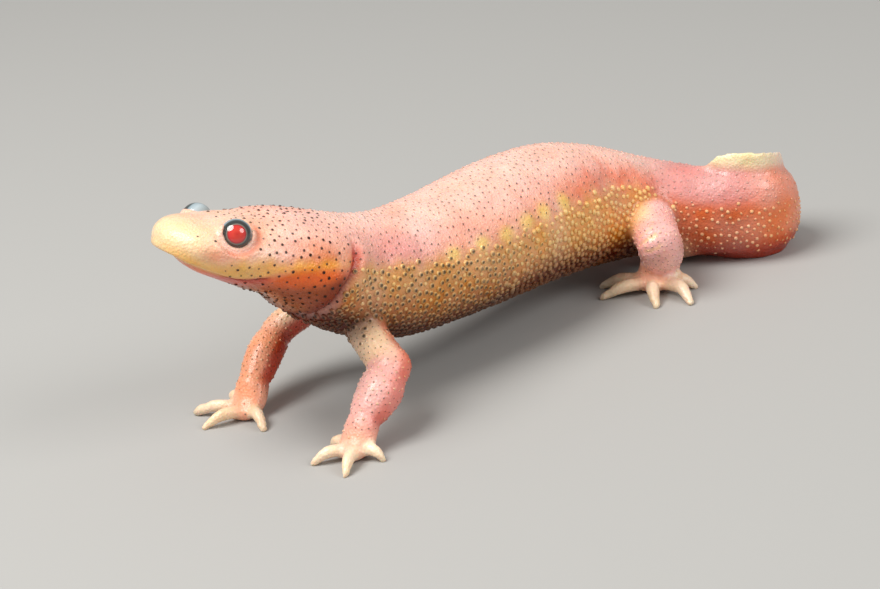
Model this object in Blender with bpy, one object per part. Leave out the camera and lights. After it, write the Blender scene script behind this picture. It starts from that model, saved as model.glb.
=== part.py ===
# Iberian ribbed newt (Pleurodeles waltl), plump albino adult, life size.
# It strides with its chest raised on the arms and its tail folded back along the floor.
# The newt faces -Y with its left side toward +X, and the floor is z = 0.
# Sizes are in millimetres here and become metres where a mesh is made.

import math
import bpy
import bmesh
import numpy as np

mm = 0.001
gap = 0.3                # clearance between neighbouring solids
floorSink = 0.25         # how far soles, fingertips and tail press below z = 0 before they are flattened

# ---- the body axis, snout to tail root
origin = (13.90, 10.22, 0.0)   # added to every stop, so that the newt's box stands centred over 0, 0
spineStops = [
    (-4.2, -67.6, 35.4),    # snout
    (-2.1, -56.6, 30.5),    # behind the eyes
    (-0.9, -45.9, 24.6),    # jaw corner
    (-0.3, -38.4, 20.7),    # throat fold
    (0.0, -30.0, 18.0),     # shoulders
    (-0.6, -11.7, 16.4),    # ribs
    (-2.2, 0.7, 14.9),      # waist
    (-3.0, 12.8, 12.6),     # loins
    (0.4, 25.6, 9.9),       # hips
    (7.5, 31.2, 8.6),       # vent
    (15.5, 34.4, 7.9),      # tail root
]
spineSpread = 3.0        # rounding of the corners between stops
tailBendRadius = 6.0
tailBendAngle = 182.0    # degrees, toward the newt's right
tailEndLength = 48.0     # from the bend to the tip
tailEndTurn = 8.0        # degrees, back the other way
tailTipHeight = 2.0

# ---- body sections: distance from the snout, half width, height above and below the axis
bodySections = [
    (0.0, 1.4, 0.9, 0.9),
    (0.8, 4.2, 2.3, 2.2),
    (3.0, 6.8, 3.4, 3.6),
    (7.0, 8.6, 4.1, 4.6),
    (13.0, 9.9, 5.1, 5.55),
    (19.0, 11.2, 7.3, 5.5),
    (24.0, 11.8, 7.8, 7.2),
    (30.0, 10.4, 8.3, 9.0),
    (36.0, 10.3, 8.5, 10.2),
    (43.0, 10.7, 8.7, 10.9),
    (52.0, 11.3, 9.0, 10.8),
    (66.0, 11.8, 10.9, 10.4),
    (80.0, 11.4, 11.9, 9.9),
    (91.0, 9.6, 10.2, 8.8),
    (100.0, 8.1, 7.6, 7.8),
    (108.0, 6.2, 7.2, 7.4),
    (115.0, 4.2, 7.4, 7.0),
    (121.0, 3.2, 7.1, 6.6),
    (128.0, 2.8, 6.2, 5.8),
    (137.0, 2.6, 5.0, 4.6),
    (155.0, 2.2, 3.6, 2.9),
    (175.0, 1.5, 2.1, 1.5),
    (196.0, 0.6, 0.7, 0.4),
]
squareness = 2.15        # 2 is an ellipse
bodySides = 24
snoutPlaces = [0.0, 0.3, 0.9, 1.8]   # close sections that round the tip of the snout
tailSides = 14

# ---- lengths of the body: name, start and end along the axis, spacing of its sections, sides
bodyLengths = [
    ("head", 0.0, 30.5, 2.8, bodySides),
    ("neck", 30.5, 38.5, 2.6, bodySides),
    ("trunk_front", 38.5, 56.0, 3.5, bodySides),
    ("trunk_middle", 56.0, 73.5, 3.5, bodySides),
    ("trunk_rear", 73.5, 91.0, 3.5, bodySides),
    ("hips", 91.0, 107.0, 3.2, bodySides),
    ("tail_1", 107.0, 122.0, 2.5, tailSides),
    ("tail_2", 122.0, 137.0, 2.5, tailSides),
    ("tail_3", 137.0, 152.0, 2.8, tailSides),
    ("tail_4", 152.0, 173.0, 4.2, tailSides),
    ("tail_tip", 173.0, 196.0, 5.0, tailSides),
]
tailNames = [row[0] for row in bodyLengths if row[0].startswith("tail")]
trunkSpan = (28.0, 112.0, 2.5)    # start, end and section spacing of the body that limbs are cut back from
tailSpan = (103.0, 198.0, 2.2)    # the same for the fins

# ---- tail fins: distance along the axis and height beyond the core of the tail
upperFin = [(107.0, 0.4), (109.0, 0.8), (111.5, 3.1), (116.0, 3.8), (121.0, 3.4), (126.0, 2.8), (134.0, 1.8),
            (150.0, 1.2), (196.0, 0.8)]
lowerFin = [(107.0, 0.5), (111.0, 1.0), (116.0, 1.2), (135.0, 1.6), (150.0, 1.6), (175.0, 1.4), (196.0, 1.0)]
finRoot = 0.75           # half thickness where the fin leaves the tail
finEdge = 0.38           # half thickness near its edge

# ---- head
mouthLine = [(-2.0, -1.9), (3.0, -2.5), (9.5, -3.3), (15.0, -1.9)]   # along the head, height
throatDepth = 14.0
eyeRadius = 2.4
eyeAlong = 8.9
eyeAside = 5.95
eyeUp = (2.9, 2.4)       # left and right: the head is rolled slightly

# ---- limbs: stops of the limb's middle line with half width and half thickness at each
leftArm = [
    ((2.6, -37.7, 15.5), 3.3, 3.4),
    ((7.1, -41.0, 13.2), 3.0, 2.9),
    ((13.2, -42.4, 9.4), 3.0, 2.8),
    ((14.6, -46.2, 7.2), 3.5, 3.3),
    ((15.6, -50.8, 4.2), 2.7, 2.3),
    ((16.2, -52.8, 1.6), 2.9, 1.9),
    ((16.6, -54.5, 1.2), 2.2, 1.4),
]
rightArm = [
    ((-5.0, -33.0, 15.0), 3.3, 3.3),
    ((-10.4, -36.2, 12.8), 3.0, 2.8),
    ((-12.9, -42.3, 9.4), 2.5, 2.5),
    ((-11.8, -46.5, 7.2), 2.9, 2.8),
    ((-9.8, -50.9, 4.2), 2.6, 2.4),
    ((-9.0, -52.8, 1.6), 3.1, 1.9),
    ((-8.6, -54.5, 1.2), 2.3, 1.4),
]
leftLeg = [
    ((4.0, 24.0, 9.0), 4.2, 4.0),
    ((9.2, 19.2, 10.2), 4.0, 3.8),
    ((14.4, 15.4, 9.7), 3.6, 3.4),
    ((12.5, 18.0, 6.6), 3.5, 3.4),
    ((10.7, 19.1, 3.9), 3.5, 3.0),
    ((10.9, 17.6, 1.9), 3.6, 2.2),
    ((11.0, 16.0, 1.2), 2.8, 1.4),
]
rightLeg = [
    ((-4.0, 25.5, 9.0), 4.2, 4.0),
    ((-9.4, 21.6, 10.4), 4.0, 3.8),
    ((-15.0, 18.2, 10.2), 3.5, 3.4),
    ((-14.3, 21.2, 6.8), 3.2, 3.2),
    ((-13.7, 22.9, 3.4), 2.8, 2.4),
    ((-14.0, 20.6, 1.6), 3.4, 1.9),
    ((-14.6, 18.9, 1.2), 2.8, 1.4),
]
limbSpread = 1.0         # rounding of the slight bend within each length
limbInset = 0.8          # a length starts this far past the joint it turns about
limbSides = 10

# ---- digits of each limb: direction of the tip from straight ahead toward the outside in degrees,
# length from the middle of the palm, and how far the knuckle bows toward the inside
leftFingers = [(-86, 5.4, -0.4), (-27, 7.0, -0.3), (33, 7.2, 0.2), (98, 4.8, 0.3)]
rightFingers = [(-66, 7.2, 0.2), (14, 7.8, 0.2), (56, 8.6, 0.4), (106, 7.2, 0.4)]
leftToes = [(-58, 9.2, -1.2), (-27, 9.6, -0.7), (42, 8.6, 0.3), (76, 9.8, -0.8), (118, 6.4, 0.3)]
rightToes = [(-34, 7.0, -0.3), (6, 9.4, -0.2), (42, 10.6, 0.0), (78, 10.4, 0.4), (118, 6.8, 0.3)]
fingerRadius = 0.98      # at the knuckle
toeRadius = 1.12
digitNeck = 1.0          # root and tip radii as shares of the knuckle's
digitTaper = 0.52
digitStart = 2.4         # distance of the roots from the middle of the palm, in knuckle radii
digitLift = 0.45         # clearance of the root over the floor
digitArch = 0.9          # clearance of the knuckle over the floor
digitSides = 7


# ---------------------------------------------------------------- curves
def smoothPath(stops, spread, step=0.5):
    """Points every step along the stops, with each corner rounded over about spread."""
    stops = np.asarray(stops, float)
    run = np.concatenate([[0.0], np.cumsum(np.linalg.norm(np.diff(stops, axis=0), axis=1))])
    count = max(int(round(run[-1] / step)), 4)
    at = np.linspace(0.0, run[-1], count + 1)
    line = np.stack([np.interp(at, run, stops[:, k]) for k in range(stops.shape[1])], 1)
    reach = min(int(3 * spread / step), count)
    weights = np.exp(-0.5 * (np.arange(-reach, reach + 1) * step / spread) ** 2)
    weights /= weights.sum()
    before = 2 * line[0] - line[reach:0:-1]
    after = 2 * line[-1] - line[-2:-reach - 2:-1]
    padded = np.concatenate([before, line, after])
    return np.stack([np.convolve(padded[:, k], weights, "valid") for k in range(line.shape[1])], 1)


class Axis:
    """A smooth middle line that gives a point and its three directions at any distance."""

    def __init__(self, points, level):
        self.points = points[:, :3]
        self.extra = points[:, 3:]
        steps = np.linalg.norm(np.diff(self.points, axis=0), axis=1)
        self.run = np.concatenate([[0.0], np.cumsum(steps)])
        self.length = self.run[-1]
        slope = np.gradient(self.points, self.run, axis=0)
        self.slope = slope / np.linalg.norm(slope, axis=1)[:, None]
        sides = [np.cross(along, (0.0, 0.0, 1.0)) for along in self.slope]
        if not level:       # carry the far end's direction back along a limb, so that it never twists
            for k in range(len(sides) - 2, -1, -1):
                sides[k] = sides[k + 1] - self.slope[k] * np.dot(sides[k + 1], self.slope[k])
        self.sides = np.array([side / np.linalg.norm(side) for side in sides])

    def at(self, distance):
        point = np.array([np.interp(distance, self.run, self.points[:, k]) for k in range(3)])
        along = np.array([np.interp(distance, self.run, self.slope[:, k]) for k in range(3)])
        along /= np.linalg.norm(along)
        point = point + along * (distance - min(max(distance, 0.0), self.length))
        aside = np.array([np.interp(distance, self.run, self.sides[:, k]) for k in range(3)])
        aside -= along * np.dot(aside, along)
        aside /= np.linalg.norm(aside)
        return point, along, aside, np.cross(aside, along)

    def sizes(self, distance):
        return [np.interp(distance, self.run, self.extra[:, k]) for k in range(self.extra.shape[1])]


def spineAxis():
    """The stops, then an arc and a nearly straight end that lie along the floor."""
    stops = [np.add(stop, origin) for stop in spineStops]
    here, before = stops[-1], stops[-2]
    heading = math.atan2(here[0] - before[0], here[1] - before[1])
    arcLength = tailBendRadius * math.radians(tailBendAngle)
    drop = (here[2] - tailTipHeight) / (arcLength + tailEndLength)
    step = 1.5
    travelled = 0.0
    while travelled < arcLength + tailEndLength:
        if travelled < arcLength:
            heading -= step / tailBendRadius
        else:
            heading += math.radians(tailEndTurn) * step / tailEndLength
        here = here + np.array([math.sin(heading), math.cos(heading), -drop]) * step
        stops.append(here)
        travelled += step
    return Axis(smoothPath(stops, spineSpread), level=True)


def profile(distance, column):
    rows = np.array(bodySections)
    return float(np.interp(distance, rows[:, 0], rows[:, column]))


def smoothProfile(distance, column):
    """The section table read with its corners eased, finely at the snout and widely behind."""
    spread = min(0.4 + distance * 0.12, 3.0)
    offsets = np.linspace(-1.5, 1.5, 13)
    weights = np.exp(-0.5 * offsets ** 2)
    values = [profile(max(distance + k * spread, 0.0), column) for k in offsets]
    return float(np.dot(values, weights) / weights.sum())


def bodyRing(axis, distance, sides, grow=0.0):
    point, along, aside, up = axis.at(distance)
    width, top, bottom = (smoothProfile(distance, k) + grow for k in (1, 2, 3))
    ring = []
    for k in range(sides):
        angle = 2 * math.pi * k / sides
        c, s = math.cos(angle), math.sin(angle)
        across = width * math.copysign(abs(c) ** (2 / squareness), c)
        height = (top if s > 0 else bottom) * math.copysign(abs(s) ** (2 / squareness), s)
        ring.append(point + aside * across + up * height)
    return ring


# ---------------------------------------------------------------- meshes
def closedLoft(name, rings):
    """Skin a row of rings that have equal counts, with a flat cap at both ends."""
    shape = bmesh.new()
    rows = [[shape.verts.new(tuple(p * mm)) for p in ring] for ring in rings]
    count = len(rows[0])
    for lower, upper in zip(rows, rows[1:]):
        for k in range(count):
            n = (k + 1) % count
            shape.faces.new((lower[k], lower[n], upper[n], upper[k]))
    shape.faces.new(rows[0])
    shape.faces.new(rows[-1])
    bmesh.ops.recalc_face_normals(shape, faces=shape.faces)
    return finishMesh(name, shape)


def finishMesh(name, shape):
    mesh = bpy.data.meshes.new(name)
    shape.to_mesh(mesh)
    shape.free()
    mesh.shade_smooth()
    return bpy.data.objects.new(name, mesh)


def stations(start, end, spacing):
    count = max(int(round((end - start) / spacing)), 2)
    return np.linspace(start, end, count + 1)


def paint(obj, name, color, roughness):
    material = bpy.data.materials.get(name)
    if material is None:
        material = bpy.data.materials.new(name)
        material.use_nodes = True
        shader = material.node_tree.nodes["Principled BSDF"]
        shader.inputs["Base Color"].default_value = (*color, 1.0)
        shader.inputs["Roughness"].default_value = roughness
        shader.inputs["Metallic"].default_value = 0.0
    obj.data.materials.append(material)


def addPart(obj, material):
    paint(obj, *material)
    partsCollection.objects.link(obj)
    return obj


def addCutter(obj):
    obj.hide_render = True
    obj.display_type = "WIRE"
    cuttersCollection.objects.link(obj)
    return obj


def cut(obj, cutter, operation="DIFFERENCE"):
    step = obj.modifiers.new(cutter.name, "BOOLEAN")
    step.operation = operation
    step.solver = "EXACT"
    step.object = cutter


backSkin = ("back_skin", (0.80, 0.36, 0.30), 0.4)
headSkin = ("head_skin", (0.86, 0.50, 0.33), 0.4)
flankSkin = ("flank_skin", (0.55, 0.26, 0.10), 0.4)
tailSkin = ("tail_skin", (0.68, 0.25, 0.15), 0.4)
finSkin = ("fin_skin", (0.86, 0.68, 0.42), 0.35)
limbSkin = ("limb_skin", (0.83, 0.42, 0.32), 0.4)
digitSkin = ("digit_skin", (0.88, 0.66, 0.42), 0.4)
eyeGloss = ("eye_gloss", (0.45, 0.03, 0.03), 0.08)


# ---------------------------------------------------------------- body
def buildBody(axis):
    parts = {}
    for name, start, end, spacing, sides in bodyLengths:
        first = start + (gap / 2 if start > 0 else 0.0)
        last = end - gap / 2
        places = stations(first, last, spacing)
        if start == 0:
            places = np.concatenate([snoutPlaces, stations(snoutPlaces[-1] + 1.2, last, spacing)])
        rings = [bodyRing(axis, s, sides) for s in places]
        material = {"head": headSkin, "neck": backSkin, "hips": tailSkin}.get(name, flankSkin)
        if name in tailNames:
            material = tailSkin
        parts[name] = addPart(closedLoft(name, rings), material)
    return parts


def bodyCutter(name, axis, span, sides):
    start, end, spacing = span
    return addCutter(closedLoft(name, [bodyRing(axis, s, sides, gap) for s in stations(start, end, spacing)]))


def floorCutter():
    shape = bmesh.new()
    bmesh.ops.create_cube(shape, size=1.0)
    bmesh.ops.scale(shape, verts=shape.verts, vec=(0.4, 0.4, 0.01))
    bmesh.ops.translate(shape, verts=shape.verts, vec=(0.0, 0.0, -0.005))
    return addCutter(finishMesh("floor_cut", shape))


# ---------------------------------------------------------------- head
def prism(name, axis, outline, halfWidth):
    """An outline drawn in the head's side view, carried straight across the head."""
    point, along, aside, up = axis.at(eyeAlong)
    shape = bmesh.new()
    sides = []
    for across in (-halfWidth, halfWidth):
        corners = [point + along * (a - eyeAlong) + up * h + aside * across for a, h in outline]
        sides.append([shape.verts.new(tuple(p * mm)) for p in corners])
    count = len(outline)
    for k in range(count):
        n = (k + 1) % count
        shape.faces.new((sides[0][k], sides[0][n], sides[1][n], sides[1][k]))
    shape.faces.new(sides[0])
    shape.faces.new(sides[1])
    bmesh.ops.recalc_face_normals(shape, faces=shape.faces)
    return addCutter(finishMesh(name, shape))


def ball(name, centre, radius, segments, rings):
    shape = bmesh.new()
    bmesh.ops.create_uvsphere(shape, u_segments=segments, v_segments=rings, radius=radius * mm)
    bmesh.ops.translate(shape, verts=shape.verts, vec=tuple(centre * mm))
    return finishMesh(name, shape)


def buildHead(axis, head):
    corner = mouthLine[-1]
    below = [(corner[0], corner[1] - throatDepth), (mouthLine[0][0], corner[1] - throatDepth)]
    jawSpace = prism("jaw_space", axis, mouthLine + below, 20.0)
    lowered = [(a, h - gap) for a, h in mouthLine[:-1]] + [(corner[0] - gap, corner[1] - gap)]
    below = [(corner[0] - gap, corner[1] - throatDepth), (mouthLine[0][0], corner[1] - throatDepth)]
    jawShape = prism("jaw_shape", axis, lowered + below, 20.0)

    jaw = bpy.data.objects.new("lower_jaw", head.data.copy())
    jaw.data.name = "lower_jaw"
    partsCollection.objects.link(jaw)
    cut(jaw, jawShape, "INTERSECT")
    cut(head, jawSpace)

    point, along, aside, up = axis.at(eyeAlong)
    for side, name, high in ((1, "left", eyeUp[0]), (-1, "right", eyeUp[1])):
        centre = point + aside * side * eyeAside + up * high
        addPart(ball("eye_" + name, centre, eyeRadius, 14, 9), eyeGloss)
        cut(head, addCutter(ball("socket_" + name, centre, eyeRadius + gap, 14, 9)))


# ---------------------------------------------------------------- tail fins
def finRing(axis, distance, upward):
    point, along, aside, up = axis.at(distance)
    table = np.array(upperFin if upward else lowerFin)
    beyond = float(np.interp(distance, table[:, 0], table[:, 1]))
    core = smoothProfile(distance, 2 if upward else 3)
    root = core * 0.55
    edge = core + beyond
    side = 1 if upward else -1
    outline = [(finRoot, root), (finEdge, edge - 0.4), (finEdge * 0.5, edge),
               (-finEdge * 0.5, edge), (-finEdge, edge - 0.4), (-finRoot, root)]
    return [point + aside * a + up * h * side for a, h in outline]


def buildFins(axis):
    cores = bodyCutter("tail_core_cut", axis, tailSpan, tailSides)
    fins = []
    for name, start, end, spacing, sides in bodyLengths:
        if name not in tailNames:
            continue
        last = end + (0.8 if name == "tail_tip" else -gap / 2)
        for upward, word in ((True, "upper"), (False, "lower")):
            rings = [finRing(axis, s, upward) for s in stations(start + gap / 2, last, spacing)]
            fin = addPart(closedLoft(name.replace("tail", "fin_" + word), rings), finSkin)
            cut(fin, cores)
            fins.append(fin)
    return fins


# ---------------------------------------------------------------- limbs
def limbRing(axis, distance, shrink, push, grow):
    point, along, aside, up = axis.at(distance)
    width, thickness = (size + grow for size in axis.sizes(distance))
    centre = point + along * thickness * push
    turns = [2 * math.pi * k / limbSides for k in range(limbSides)]
    return [centre + (aside * width * math.cos(t) + up * thickness * math.sin(t)) * shrink for t in turns]


def limbLength(name, rows, grow=0.0):
    """One length of a limb through three stops, with a dome at its far end."""
    axis = Axis(smoothPath(rows, limbSpread), level=False)
    rings = [limbRing(axis, s, 1.0, 0.0, grow) for s in stations(limbInset, axis.length, 1.9)]
    for reach in (0.55, 0.93):
        rings.append(limbRing(axis, axis.length, math.sqrt(1 - reach ** 2), reach, grow))
    return closedLoft(name, rings)


def buildLimb(stops, names, body, floor):
    """Upper length, lower length and palm, each one socketed round the end of the one before."""
    rows = np.array([[*np.add(point, origin), width, thickness] for point, width, thickness in stops])
    before = body
    for k, name in enumerate(names):
        span = rows[2 * k:2 * k + 3]
        part = addPart(limbLength(name, span), limbSkin)
        cut(part, before)
        before = addCutter(limbLength(name + "_cut", span, gap))
    cut(part, floor)
    return before, rows[5, :3]


def heading(turn, side):
    """Level direction: 0 degrees points ahead (-Y), positive toward the outside of that body side."""
    angle = math.radians(turn)
    return np.array([math.sin(angle) * side, -math.cos(angle), 0.0])


def buildDigits(digits, names, radius, side, palm, centre, floor):
    """Digits fan out from roots set evenly around the edge of the palm."""
    rootTurns = np.linspace(digits[0][0], digits[-1][0], len(digits))
    sole = centre * (1.0, 1.0, 0.0)
    for (turn, length, bow), rootTurn, name in zip(digits, rootTurns, names):
        base = sole + heading(rootTurn, side) * digitStart * radius
        tip = sole + heading(turn, side) * length
        knuckle = (base + tip) / 2 + heading(turn - 90, side) * bow
        base[2] = radius + digitLift
        knuckle[2] = radius + digitArch
        tip[2] = radius * digitTaper - floorSink
        rows = [[*base, radius * digitNeck], [*knuckle, radius], [*tip, radius * digitTaper]]
        axis = Axis(smoothPath(rows, 0.8, 0.25), level=True)
        rings = [digitRing(axis, s) for s in stations(0.0, axis.length, 1.5)]
        rings += [digitRing(axis, axis.length, math.sqrt(1 - reach ** 2), reach) for reach in (0.5, 0.9)]
        digit = addPart(closedLoft(name, rings), digitSkin)
        cut(digit, palm)
        cut(digit, floor)


def digitRing(axis, distance, shrink=1.0, push=0.0):
    point, along, aside, up = axis.at(distance)
    radius = axis.sizes(distance)[0]
    centre = point + along * radius * push
    return [centre + (aside * math.cos(2 * math.pi * k / digitSides)
                      + up * math.sin(2 * math.pi * k / digitSides)) * radius * shrink
            for k in range(digitSides)]


# ---------------------------------------------------------------- assembly
for old in list(bpy.data.objects):
    bpy.data.objects.remove(old, do_unlink=True)
partsCollection = bpy.data.collections.new("ribbed_newt")
cuttersCollection = bpy.data.collections.new("cutters")
for collection in (partsCollection, cuttersCollection):
    bpy.context.scene.collection.children.link(collection)

spine = spineAxis()
floor = floorCutter()
body = buildBody(spine)
buildHead(spine, body["head"])
for fin in buildFins(spine):
    if "lower" in fin.name:
        cut(fin, floor)

trunk = bodyCutter("trunk_cut", spine, trunkSpan, bodySides)
arms = [(1, "left", leftArm, leftFingers), (-1, "right", rightArm, rightFingers)]
legs = [(1, "left", leftLeg, leftToes), (-1, "right", rightLeg, rightToes)]
for side, word, stops, digits in arms:
    names = [part + word for part in ("upper_arm_", "forearm_", "hand_")]
    palm, centre = buildLimb(stops, names, trunk, floor)
    digitNames = [f"finger_{word}_{k + 1}" for k in range(len(digits))]
    buildDigits(digits, digitNames, fingerRadius, side, palm, centre, floor)
for side, word, stops, digits in legs:
    names = [part + word for part in ("thigh_", "shin_", "foot_")]
    palm, centre = buildLimb(stops, names, trunk, floor)
    digitNames = [f"toe_{word}_{k + 1}" for k in range(len(digits))]
    buildDigits(digits, digitNames, toeRadius, side, palm, centre, floor)
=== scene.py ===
import math
import bpy
import bmesh
import numpy as np
from mathutils import Matrix, Vector


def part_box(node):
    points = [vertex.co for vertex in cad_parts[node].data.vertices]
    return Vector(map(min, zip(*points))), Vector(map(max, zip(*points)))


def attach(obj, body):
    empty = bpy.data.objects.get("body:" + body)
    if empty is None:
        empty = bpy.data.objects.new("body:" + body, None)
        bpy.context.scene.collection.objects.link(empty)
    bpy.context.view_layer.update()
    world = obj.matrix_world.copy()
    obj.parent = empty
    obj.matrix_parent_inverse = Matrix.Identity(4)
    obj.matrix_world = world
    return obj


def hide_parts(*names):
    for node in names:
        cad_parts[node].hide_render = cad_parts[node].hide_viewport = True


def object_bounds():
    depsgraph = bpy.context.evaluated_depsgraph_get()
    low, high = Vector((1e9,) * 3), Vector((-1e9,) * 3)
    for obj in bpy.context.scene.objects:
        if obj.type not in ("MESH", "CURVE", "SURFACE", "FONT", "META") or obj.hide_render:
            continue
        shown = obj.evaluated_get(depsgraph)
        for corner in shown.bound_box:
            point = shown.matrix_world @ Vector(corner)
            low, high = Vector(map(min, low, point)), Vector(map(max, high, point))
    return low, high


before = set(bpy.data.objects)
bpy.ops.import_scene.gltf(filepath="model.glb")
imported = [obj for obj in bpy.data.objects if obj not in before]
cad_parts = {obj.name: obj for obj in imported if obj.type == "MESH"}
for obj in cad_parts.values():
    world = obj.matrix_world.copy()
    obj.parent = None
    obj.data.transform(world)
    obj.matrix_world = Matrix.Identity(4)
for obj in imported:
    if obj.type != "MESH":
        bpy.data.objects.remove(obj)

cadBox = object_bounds()
mm = 0.001   # lengths below are in millimetres until a mesh is made


# small helpers
def pigment(red, green, blue):   # a colour as it looks on a screen, made linear
    values = np.array([red, green, blue]) / 255.0
    return np.where(values <= 0.04045, values / 12.92, ((values + 0.055) / 1.055) ** 2.4)


def ease(value, low, high):   # 0 below low, 1 above high, smooth between
    t = np.clip((value - low) / (high - low), 0.0, 1.0)
    return t * t * (3.0 - 2.0 * t)


def fade(value, low, high):   # 1 below low, 0 above high
    return 1 - ease(value, low, high)


def hump(value, middle, spread):
    return np.exp(-0.5 * ((value - middle) / spread) ** 2)


def bell(value, spread):
    return np.exp(-(value / spread) ** 2)


def mixed(under, over, amount):
    return under + (over - under) * np.asarray(amount)[..., None]


def readTable(table, at):
    rows = np.array(table)
    return np.interp(at, rows[:, 0], rows[:, 1])


def newObject(name, mesh):
    made = bpy.data.objects.new(name, mesh)
    bpy.context.scene.collection.objects.link(made)
    return made


def meshFrom(name, points, faces):   # points in millimetres
    mesh = bpy.data.meshes.new(name)
    mesh.from_pydata([tuple(p * mm) for p in points], [], faces)
    mesh.update()
    return mesh


def readRows(items, key, width=3, kind=float):
    flat = np.empty(len(items) * width, kind)
    items.foreach_get(key, flat)
    return flat.reshape(-1, width)


def readPoints(mesh):
    return readRows(mesh.vertices, "co") / mm


def writePoints(mesh, points):
    mesh.vertices.foreach_set("co", (points * mm).ravel())
    mesh.update()


attributeKeys = {"FLOAT": ("value", 1), "FLOAT_VECTOR": ("vector", 3), "FLOAT_COLOR": ("color", 4)}


def readAttribute(mesh, name):
    found = mesh.attributes[name]
    return readRows(found.data, *attributeKeys[found.data_type])


def setAttribute(mesh, name, values, kind="FLOAT"):
    values = np.asarray(values, float)
    if kind == "FLOAT_COLOR":
        values = np.hstack([values, np.ones((len(values), 1))])
    made = mesh.attributes.get(name) or mesh.attributes.new(name, kind, "POINT")
    made.data.foreach_set(attributeKeys[kind][0], values.ravel())


def triangleCount(mesh):
    return sum(len(face.vertices) - 2 for face in mesh.polygons)


def ring(count):
    turns = np.linspace(0, 2 * math.pi, count, endpoint=False)
    return np.cos(turns), np.sin(turns)


def column(values):
    return np.asarray(values)[:, None]


# middle lines
def smoothPath(stops, spread, step=0.5):
    stops = np.asarray(stops, float)
    run = np.concatenate([[0.0], np.cumsum(np.linalg.norm(np.diff(stops[:, :3], axis=0), axis=1))])
    count = max(int(round(run[-1] / step)), 4)
    at = np.linspace(0.0, run[-1], count + 1)
    line = np.stack([np.interp(at, run, stops[:, k]) for k in range(stops.shape[1])], 1)
    reach = min(int(3 * spread / step), count)
    weights = np.exp(-0.5 * (np.arange(-reach, reach + 1) * step / spread) ** 2)
    weights /= weights.sum()
    before = 2 * line[0] - line[reach:0:-1]
    after = 2 * line[-1] - line[-2:-reach - 2:-1]
    padded = np.concatenate([before, line, after])
    return np.stack([np.convolve(padded[:, k], weights, "valid") for k in range(line.shape[1])], 1)


class Axis:
    def __init__(self, points, level=True):
        self.points = points[:, :3]
        self.extra = points[:, 3:]
        steps = np.linalg.norm(np.diff(self.points, axis=0), axis=1)
        self.run = np.concatenate([[0.0], np.cumsum(steps)])
        self.length = self.run[-1]
        slope = np.gradient(self.points, self.run, axis=0)
        self.slope = slope / np.linalg.norm(slope, axis=1)[:, None]
        sides = [np.cross(along, (0.0, 0.0, 1.0)) for along in self.slope]
        if not level:
            for k in range(len(sides) - 2, -1, -1):
                sides[k] = sides[k + 1] - self.slope[k] * np.dot(sides[k + 1], self.slope[k])
        self.sides = np.array([side / np.linalg.norm(side) for side in sides])
        self.ups = np.cross(self.sides, self.slope)

    def read(self, rows, at):   # the row at one distance, or a row for each of several
        return np.array([np.interp(at, self.run, rows[:, k]) for k in range(rows.shape[1])]).T

    def at(self, distance):
        along = self.read(self.slope, distance)
        along /= np.linalg.norm(along)
        beyond = distance - min(max(distance, 0.0), self.length)
        point = self.read(self.points, distance) + along * beyond
        aside = self.read(self.sides, distance)
        aside -= along * np.dot(aside, along)
        aside /= np.linalg.norm(aside)
        return point, along, aside, np.cross(aside, along)

    def nearest(self, points, reach):   # distance along, sideways and up; reach weighs the samples
        best = np.full(len(points), np.inf)
        index = np.zeros(len(points), int)
        for k in range(len(self.points)):
            score = ((points - self.points[k]) ** 2).sum(1) / reach[k] ** 2
            closer = score < best
            best[closer] = score[closer]
            index[closer] = k
        at = self.run[index]
        for _ in range(6):   # slide to the foot of the perpendicular
            point, slope = self.read(self.points, at), self.read(self.slope, at)
            at = np.clip(at + ((points - point) * slope).sum(1) * 0.7, 0.0, self.length)
        offset = points - self.read(self.points, at)
        aside = (offset * self.read(self.sides, at)).sum(1)
        up = (offset * self.read(self.ups, at)).sum(1)
        return at + (offset * self.read(self.slope, at)).sum(1), aside, up


def places(start, end, spacing):
    return np.linspace(start, end, max(int(round((end - start) / spacing)), 2) + 1)


def loft(rings):   # closed tube through rings of equal counts: points and faces
    count, last = len(rings[0]), len(rings) - 1
    faces = []
    for j in range(last):
        for k in range(count):
            n = (k + 1) % count
            faces.append((j * count + k, j * count + n, (j + 1) * count + n, (j + 1) * count + k))
    faces.append(tuple(range(count))[::-1])
    faces.append(tuple(last * count + k for k in range(count)))
    return np.concatenate([np.array(row) for row in rings]), faces


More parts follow.
